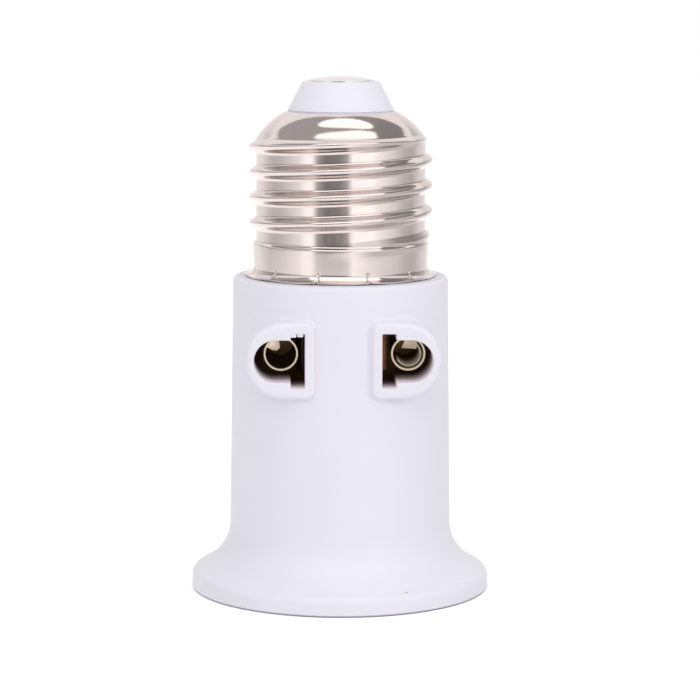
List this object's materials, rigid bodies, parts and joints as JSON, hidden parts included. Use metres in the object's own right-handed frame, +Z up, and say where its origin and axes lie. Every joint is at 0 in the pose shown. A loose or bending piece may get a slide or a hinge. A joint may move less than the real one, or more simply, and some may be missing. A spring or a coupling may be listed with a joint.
{
  "type": "lamp socket adapter",
  "caption": "Lamp socket adapter with a 27 mm screw cap, a screw lamp socket in its flared foot and a two-pin outlet in its side.",
  "frame": {"origin": "centre of the foot's rim, on the plane that the adapter stands on", "axes": "+Z up along the axis through the screw cap, -Y out of the side outlet, +X to the right seen from the outlet's side"},
  "size_m": [0.043, 0.043, 0.0737],
  "materials": {
    "housing_plastic": "satin moulded white plastic",
    "nickel_plate": "bright nickel plate on rolled sheet",
    "contact_nickel": "polished nickel plate",
    "socket_brass": "rolled brass sheet",
    "base_laminate": "dark phenolic board",
    "tongue_bronze": "spring bronze sheet",
    "rivet_brass": "turned brass",
    "screw_steel": "zinc-plated steel",
    "strip_brass": "stamped brass strip",
    "sleeve_brass": "rolled brass sheet"
  },
  "bodies": {
    "root": {"housing": "housing_plastic", "cap_shell": "nickel_plate", "centre_contact": "contact_nickel", "socket_shell": "socket_brass", "socket_base": "base_laminate", "centre_tongue": "tongue_bronze", "tongue_rivet": "rivet_brass", "shell_rivet": "rivet_brass", "base_screws": "screw_steel", "line_strip": "strip_brass", "neutral_strip": "strip_brass", "line_link": "strip_brass", "neutral_link": "strip_brass", "outlet_sleeve_left": "sleeve_brass", "outlet_sleeve_right": "sleeve_brass", "blade_leaf_left": "sleeve_brass", "blade_leaf_right": "sleeve_brass"}
  },
  "joints": []
}
